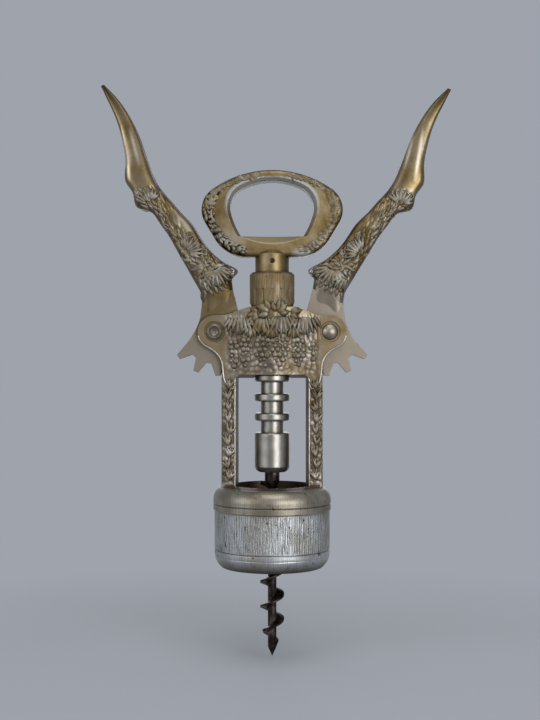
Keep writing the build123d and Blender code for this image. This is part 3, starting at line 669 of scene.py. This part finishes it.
def headFoliage(side, sideName):
    look = headOrnament
    leaves, worn, grapes, lobes = [], [], [], []
    for number, fan in enumerate(look["fans"]):
        laid = layFan("frame", dict(fan, **look["lobe"]), side)
        if number in look["wornFans"]:
            worn += laid
        else:
            leaves += laid
    for bunch in look["bunches"]:
        for row, count in enumerate(bunch["rows"]):
            for number in range(count):
                x = bunch["top"][0] + (number - (count - 1) / 2) * look["columnStep"]
                z = bunch["top"][1] - row * look["rowDrop"]
                x += chance.uniform(-look["wander"], look["wander"])
                z += chance.uniform(-look["wander"], look["wander"])
                across = look["grape"] * chance.uniform(*look["grapeSizes"]) * mm
                size = (across, across, look["grapeHeight"] * mm)
                grapes += layShape(grapeShape, "frame", x * mm, z * mm, 0, size, side, look["sink"] * mm)
    for fan in look["neckFans"]:
        lobes += layFan("frame", dict(fan, **look["neckLobe"]), side)
    joinCopies(worn, "headLeaves" + sideName, "frame", silverLeafMetal)
    joinCopies(leaves, "headBrownLeaves" + sideName, "frame", goldenLeafMetal)
    joinCopies(grapes, "headGrapes" + sideName, "frame", grapeMetal)
    joinCopies(lobes, "neckLeaves" + sideName, "frame", goldenLeafMetal)


headFoliage(front, "Front")
headFoliage(back, "Back")
print("head ornament made")


# Bright worn arris round both faces of the head and down the inside of the legs, taken from
# the frame's own sharp edges; a band is from and to in x, y and z, on either side
arris = {"sharp": 35, "thickness": 0.6, "clearOfRivet": 4.2, "bands": [
    ((11.4, 60), (4.2, 60), (56.6, 74.5)),
    ((0, 12.2), (3.8, 4.2), (22.0, 74.5)),
]}


def inBand(place, band):
    x, y, z = abs(place.x) / mm, abs(place.y) / mm, place.z / mm
    fromRivet = ((x - rivetPlace[0]) ** 2 + (z - rivetPlace[1]) ** 2) ** 0.5
    return fromRivet > arris["clearOfRivet"] and all(
        low < value < high for value, (low, high) in zip((x, y, z), band))


def headArris():
    copy = stamp(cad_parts["frame"], Matrix())
    selectOnly([copy])
    bpy.ops.object.mode_set(mode="EDIT")
    bpy.ops.mesh.select_all(action="SELECT")
    bpy.ops.mesh.remove_doubles(threshold=0.001 * mm)
    bpy.ops.mesh.select_all(action="DESELECT")
    bpy.ops.mesh.select_mode(type="EDGE")
    bpy.ops.mesh.edges_select_sharp(sharpness=radians(arris["sharp"]))
    bpy.ops.object.mode_set(mode="OBJECT")
    for edge in copy.data.edges:
        ends = [copy.data.vertices[v].co for v in edge.vertices]
        edge.select = edge.select and any(all(inBand(end, band) for end in ends) for band in arris["bands"])
    bpy.ops.object.mode_set(mode="EDIT")
    bpy.ops.mesh.select_all(action="INVERT")
    bpy.ops.mesh.delete(type="EDGE")
    bpy.ops.object.mode_set(mode="OBJECT")
    bpy.ops.object.convert(target="CURVE")
    copy.data.bevel_depth = arris["thickness"] / 2 * mm
    copy.data.bevel_resolution = 1
    bpy.ops.object.convert(target="MESH")
    joinCopies([bpy.context.active_object], "headArris", "frame", wornMetal)


headArris()
print("worn edges made")


# Vine up the face of each leg: a waving stem, narrow leaves fanned at each bend and a curl
# beside it, with the leaves' leans in degrees from straight up

legVine = {"middle": 14.0, "sway": 0.8, "bend": 3.65, "bottom": 28.2, "top": 58.0, "stem": 0.7,
           "leans": (16, 40, 68, -14), "wander": 10, "leafLength": 4.4, "lengths": (0.75, 1.05),
           "leafWidth": 1.25, "leafHeight": 1.3, "leafMiddle": 0.4, "leafShift": 0.7,
           "curl": 1.5, "curls": (0.8, 1.1), "curlHeight": 1.5, "curlShift": 1.5, "curlRise": 0.42}


def vineStem(places, side):
    # a round stem, smooth through the given x and z places on the frame's face
    seats = [seatOn("frame", x * mm, z * mm, side)[0] for x, z in places]
    seats = [seat for seat in seats if seat is not None]
    data = bpy.data.curves.new("legStem", "CURVE")
    data.dimensions = "3D"
    data.bevel_depth = legVine["stem"] / 2 * mm
    data.bevel_resolution = 1
    data.resolution_u = 4
    spline = data.splines.new("NURBS")
    spline.points.add(len(seats) - 1)
    for point, seat in zip(spline.points, seats):
        point.co = (*seat, 1)
    spline.order_u = 3
    spline.use_endpoint_u = True
    selectOnly([addObject("legStem", data)])
    bpy.ops.object.convert(target="MESH")
    return bpy.context.active_object


def legFoliage(side, sideName):
    copies, worn = [], []
    look = legVine
    bends = int((look["top"] - look["bottom"]) / look["bend"])
    for hand in (-1, 1):
        places = []
        for number in range(bends + 1):
            sway = look["sway"] * (1 if number % 2 else -1)
            places.append((hand * (look["middle"] + sway), look["bottom"] + number * look["bend"]))
        copies.append(vineStem(places, side))
        for number, (x, z) in enumerate(places):
            across = hand if number % 2 else -hand
            for lean in look["leans"]:
                turn = radians(90 - across * lean + chance.uniform(-look["wander"], look["wander"]))
                size = (look["leafLength"] * chance.uniform(*look["lengths"]) * mm,
                        look["leafWidth"] * mm, look["leafHeight"] * mm)
                spotX = (x - across * look["leafShift"]) * mm + cos(turn) * size[0] * look["leafMiddle"]
                spotZ = z * mm + sin(turn) * size[0] * look["leafMiddle"]
                copies += layShape(petalShape, "frame", spotX, spotZ, turn, size, side)
            curlX = x - across * look["curlShift"]
            curlZ = z + look["bend"] * look["curlRise"]
            curlSize = [look["curl"] * chance.uniform(*look["curls"]) * mm] * 2 + [look["curlHeight"] * mm]
            worn += layShape(curlShape, "frame", curlX * mm, curlZ * mm, 0, curlSize, side)
    joinCopies(copies, "legVine" + sideName, "frame", plainMetal)
    joinCopies(worn, "legCurls" + sideName, "frame", silverLeafMetal)


legFoliage(front, "Front")
legFoliage(back, "Back")
print("leg vines made")


# Leaves along each lever; places are along the arm from its pivot and in towards the worm,
# and 0 degrees points up the arm with 90 in towards the worm

leverOrnament = {
    "lean": {-1: 24.3, 1: 26.1},
    "fans": [
        {"at": (18.6, 8.2), "points": 188, "spread": 130, "root": 2.0, "lobes": 9, "length": 6.6},
        {"at": (18.4, 3.8), "points": 186, "spread": 110, "root": 1.5, "lobes": 7, "length": 5.6},
        {"at": (27.0, 2.6), "points": 76, "spread": 110, "root": 2.0, "lobes": 8, "length": 5.6},
        {"at": (46.8, -2.0), "points": 10, "spread": 130, "root": 2.0, "lobes": 8, "length": 5.0},
    ],
    "lobe": {"width": 1.3, "height": 0.9},
    "cover": [
        # small leaves: reach along the arm, outer and inner edge, and the place they spread from
        {"along": (12.2, 25.5), "edges": (0.4, 12.4), "from": (20.5, 5.5)},
        {"along": (25.5, 35.5), "edges": (-0.2, 5.6), "from": (22.0, 2.0)},
        {"along": (35.5, 45.5), "edges": (-2.6, 1.6), "from": (22.0, 3.5)},
        {"along": (45.5, 51.0), "edges": (-5.2, 0.4), "from": (40.0, 0.0)},
    ],
    "curls": [(37.0, -0.2, 2.2), (39.8, -1.0, 1.9), (42.4, -1.5, 2.3), (40.6, 1.4, 1.9), (31.6, 5.6, 2.2),
              (24.6, 7.6, 2.2), (50.4, -4.2, 2.0)],  # along, inward and across
    "curlHeight": 2.4, "step": 1.7, "steps": (0.85, 1.15), "shift": 0.4, "length": (2.4, 3.6),
    "width": (1.15, 1.6), "height": 0.95, "sink": 0.1, "tilt": 5, "wander": 22,
    "wornEdge": 2.2, "wornShare": (0.75, 0.3),
}


def armPlace(hand, along, inward):
    lean = radians(leverOrnament["lean"][hand])
    x = hand * (rivetPlace[0] + along * sin(lean) - inward * cos(lean))
    return x, rivetPlace[1] + along * cos(lean) + inward * sin(lean)


def armHeading(hand, points):
    here, there = armPlace(hand, 0, 0), armPlace(hand, cos(radians(points)), sin(radians(points)))
    return degrees(atan2(there[1] - here[1], there[0] - here[0]))


def leverFoliage(hand, body, nodeName):
    look = leverOrnament
    leaves, bright = [], []
    for side in (front, back):
        for fan in look["fans"]:
            placed = dict(fan, at=armPlace(hand, *fan["at"]), points=armHeading(hand, fan["points"]))
            bright += layFan(nodeName, dict(placed, **look["lobe"]), side)
        for patch in look["cover"]:
            along = patch["along"][0]
            while along < patch["along"][1]:
                inward = patch["edges"][0] + chance.uniform(0, look["step"])
                while inward < patch["edges"][1]:
                    away = degrees(atan2(inward - patch["from"][1], along - patch["from"][0]))
                    away += chance.uniform(-look["wander"], look["wander"])
                    x, z = armPlace(hand, along + chance.uniform(-look["shift"], look["shift"]), inward)
                    size = (chance.uniform(*look["length"]) * mm, chance.uniform(*look["width"]) * mm,
                            look["height"] * mm)
                    laid = layShape(petalShape, nodeName, x * mm, z * mm, radians(armHeading(hand, away)),
                                    size, side, look["sink"] * mm, radians(look["tilt"]))
                    nearEdge = inward - patch["edges"][0] < look["wornEdge"]
                    if chance.random() < look["wornShare"][0 if nearEdge else 1]:
                        bright += laid
                    else:
                        leaves += laid
                    inward += look["step"] * chance.uniform(*look["steps"])
                along += look["step"]
        for along, inward, across in look["curls"]:
            x, z = armPlace(hand, along, inward)
            size = (across * mm, across * mm, look["curlHeight"] * mm)
            bright += layShape(curlShape, nodeName, x * mm, z * mm, 0, size, side)
    joinCopies(leaves, body + "Leaves", body, goldenLeafMetal)
    joinCopies(bright, body + "WornLeaves", body, silverLeafMetal)


leverFoliage(-1, "left_arm", "left_lever")
leverFoliage(1, "right_arm", "right_lever")
print("lever ornament made")


# Band of leaves round the outside of the handle's loop, silver low down and ochre above, in
# steps of degrees from the loop's sides; slides are in millimetres across the band

handleBand = {"centre": 114.5, "inset": 2.0, "from": -57, "to": 68, "step": 5.0, "steps": (0.85, 1.15),
              "slides": (0.6, -0.2, -1.0), "thinSlides": (0.9, 0.3), "thinAbove": 120, "wander": 0.4,
              "skew": 55, "length": 3.2, "lengths": (0.75, 1.1), "width": 1.5, "widths": (0.8, 1.2),
              "height": 0.6, "sink": 0.1, "silverBelow": {-1: 116, 1: 105}, "rise": {-1: 1.0, 1: 0.55},
              "goldenRise": 0.9, "silverRise": 1.7, "silverSize": 0.72}


def handleFoliage(side, sideName):
    look = handleBand
    golden, silver = [], []
    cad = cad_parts["handle"]
    centre = Vector((0, 0, look["centre"] * mm))
    for hand in (-1, 1):
        turn = look["from"]
        while turn <= look["to"]:
            angle = radians(turn)
            away = Vector((hand * cos(angle), 0, sin(angle)))
            hit, edge, normal, face = cad.ray_cast(centre + away * 60 * mm, -away)
            normal = Vector((normal.x, 0, normal.z)).normalized()
            run = atan2(normal.z, normal.x) + hand * pi / 2
            worn = edge.z < look["silverBelow"][hand] * mm
            narrow = look["silverSize"] if worn else 1.0
            rise = look["silverRise"] if worn else look["goldenRise"]
            for slide in look["thinSlides" if edge.z > look["thinAbove"] * mm else "slides"]:
                skew = chance.uniform(-look["skew"], look["skew"])
                size = (look["length"] * narrow * chance.uniform(*look["lengths"]) * mm,
                        look["width"] * narrow * chance.uniform(*look["widths"]) * mm,
                        look["height"] * rise * look["rise"][hand] * mm)
                inset = look["inset"] - slide + chance.uniform(-look["wander"], look["wander"])
                spot = edge - normal * inset * mm
                laid = layShape(petalShape, "handle", spot.x, spot.z, run + radians(skew) * hand,
                                size, side, look["sink"] * mm)
                if worn:
                    silver += laid
                else:
                    golden += laid
            turn += look["step"] * chance.uniform(*look["steps"])
    joinCopies(golden, "handleLeaves" + sideName, "screw", goldenLeafMetal)
    joinCopies(silver, "handleWornLeaves" + sideName, "screw", silverLeafMetal)


handleFoliage(front, "Front")
handleFoliage(back, "Back")
for shape in (petalShape, grapeShape, curlShape):
    bpy.data.objects.remove(shape)
print("handle ornament made")


# Pale floor just under the worm's tip, and a plain background of the same grey, which the
# floor fades into past the object's shadow

stage = {"grey": "#9ea3ac", "below": 1.6, "radius": 600, "shadowFrom": 90, "shadowTo": 190, "fill": 0.52}


def makeFloor():
    bpy.ops.mesh.primitive_circle_add(vertices=96, radius=stage["radius"] * mm, fill_type="NGON",
                                      location=(0, 0, cadBox[0].z - stage["below"] * mm))
    floor = finishShape("floor")
    material, tree, place = startMaterial("paleFloor")
    shader = addNode(tree, "ShaderNodeBsdfPrincipled", None, {"Base Color": stage["grey"], "Roughness": 0.8})
    glow = addNode(tree, "ShaderNodeEmission", None, {"Color": stage["grey"]})
    reach = addNode(tree, "ShaderNodeVectorMath", {"operation": "LENGTH"}, {0: place})
    fade = addNode(tree, "ShaderNodeMapRange", None, {
        "Value": reach, "From Min": stage["shadowFrom"] * mm, "From Max": stage["shadowTo"] * mm})
    mix = addNode(tree, "ShaderNodeMixShader", None, {0: fade, 1: shader, 2: glow})
    addNode(tree, "ShaderNodeOutputMaterial", None, {"Surface": mix})
    floor.data.materials.append(material)


def makeWorld():
    world = bpy.data.worlds.new("studio")
    bpy.context.scene.world = world
    world.use_nodes = True
    tree = world.node_tree
    tree.nodes.clear()
    rays = addNode(tree, "ShaderNodeLightPath").outputs
    seen = rays["Is Camera Ray"]
    for ray in ("Is Glossy Ray", "Is Transmission Ray"):
        seen = addNode(tree, "ShaderNodeMath", {"operation": "MAXIMUM"}, {0: seen, 1: rays[ray]})
    fill = addNode(tree, "ShaderNodeBackground", None, {"Color": "#ffffff", "Strength": stage["fill"]})
    shown = addNode(tree, "ShaderNodeBackground", None, {"Color": stage["grey"], "Strength": 1.0})
    mix = addNode(tree, "ShaderNodeMixShader", None, {0: seen, 1: fill, 2: shown})
    addNode(tree, "ShaderNodeOutputWorld", None, {"Surface": mix})


# Large soft lamps, in metres and watts, all turned to the middle of the object
lampTarget = (0, 0, 0.06)
lamps = {
    "keyLamp": {"at": (0.36, -0.64, 0.12), "size": 0.4, "power": 2.7},
    "fillLamp": {"at": (-0.55, -0.45, 0.25), "size": 0.5, "power": 1.4},
    "topLamp": {"at": (0.05, -0.35, 0.75), "size": 0.5, "power": 1.9},
    "backLamp": {"at": (0.05, 0.85, 0.12), "size": 0.5, "power": 1.2},
}


def makeLamps():
    for name, lamp in lamps.items():
        light = bpy.data.lights.new(name, "AREA")
        light.size = lamp["size"]
        light.energy = lamp["power"]
        lightObject = addObject(name, light)
        lightObject.location = lamp["at"]
        away = Vector(lampTarget) - lightObject.location
        lightObject.rotation_euler = away.to_track_quat("-Z", "Y").to_euler()


camera = {"place": (-0.7, -400, 66.4), "lens": 61.9, "sensor": 36}


def makeCamera():
    data = bpy.data.cameras.new("camera")
    data.lens = camera["lens"]
    data.sensor_width = camera["sensor"]
    cameraObject = addObject("camera", data)
    cameraObject.location = Vector(camera["place"]) * mm
    cameraObject.rotation_euler = (pi / 2, 0, 0)
    bpy.context.scene.camera = cameraObject


makeFloor()
makeWorld()
makeLamps()
makeCamera()
bpy.context.scene.view_settings.view_transform = "Standard"
print("stage made")
